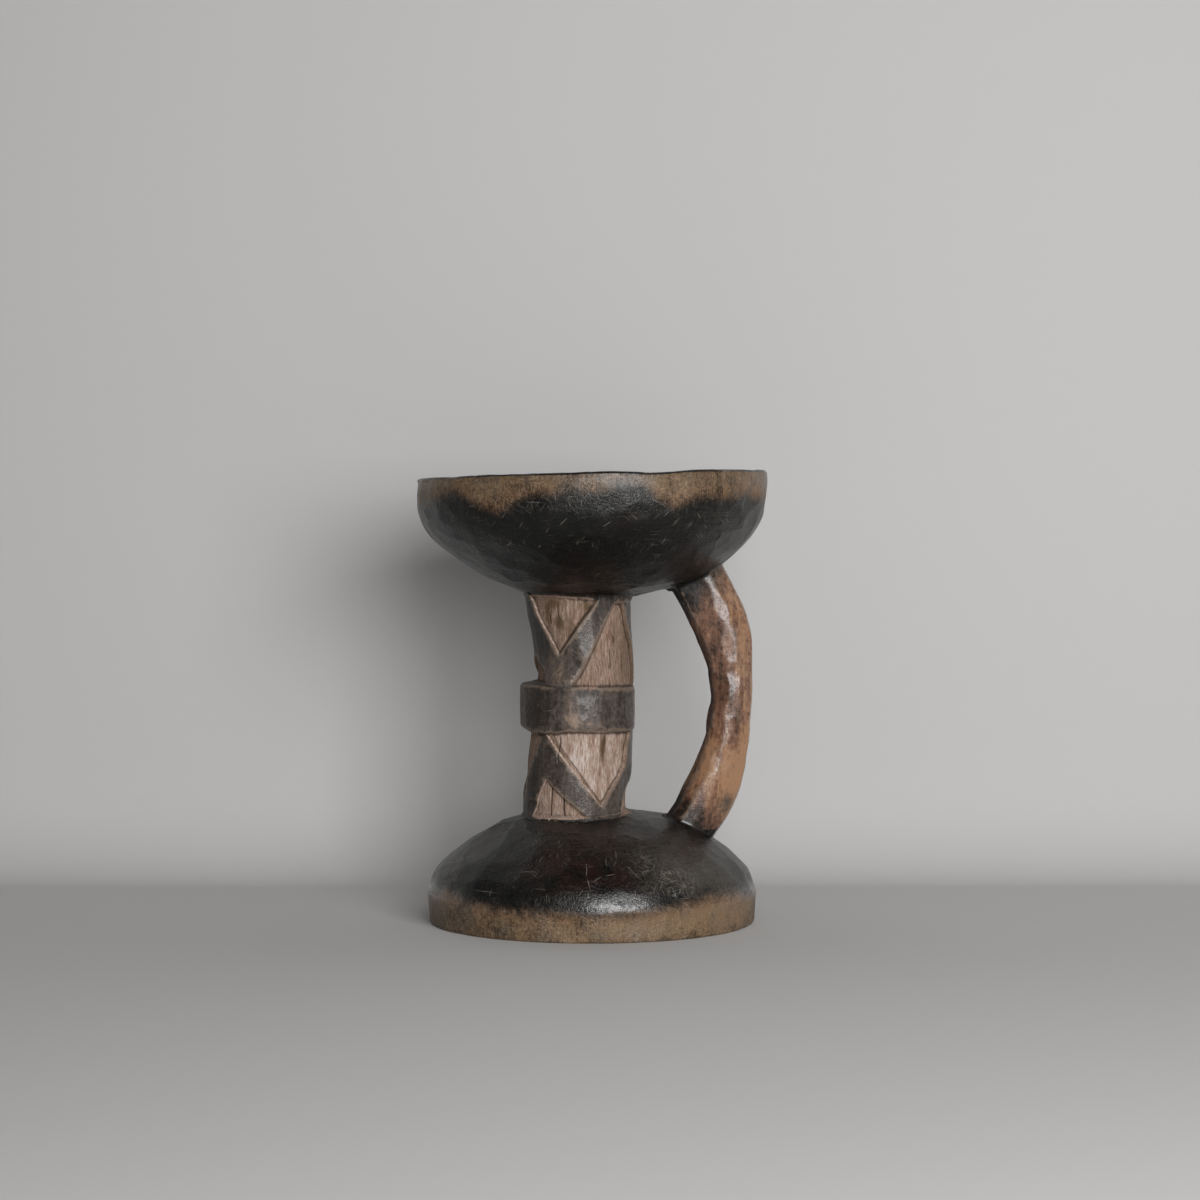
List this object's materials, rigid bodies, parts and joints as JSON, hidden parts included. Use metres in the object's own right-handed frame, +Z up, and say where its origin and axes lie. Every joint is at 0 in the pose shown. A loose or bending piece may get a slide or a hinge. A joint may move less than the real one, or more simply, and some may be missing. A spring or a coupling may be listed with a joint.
{
  "type": "carved wooden stool",
  "caption": "Round dished stool seat on a short banded column carved with sunk triangles, with a domed foot and a bowed side handle, carved from solid wood.",
  "frame": {"origin": "centre of the foot's flat underside", "axes": "+Z up through the foot and seat, +X towards the handle, -Y the side seen in the picture"},
  "size_m": [0.2358, 0.2358, 0.3029],
  "materials": {
    "carved_wood": "carved hardwood with a charred and handled dark skin, raw tan wood in the sunk triangles and brown where the rim, handle and foot edge are worn"
  },
  "bodies": {
    "root": {"carved_stool": "carved_wood"}
  },
  "joints": []
}
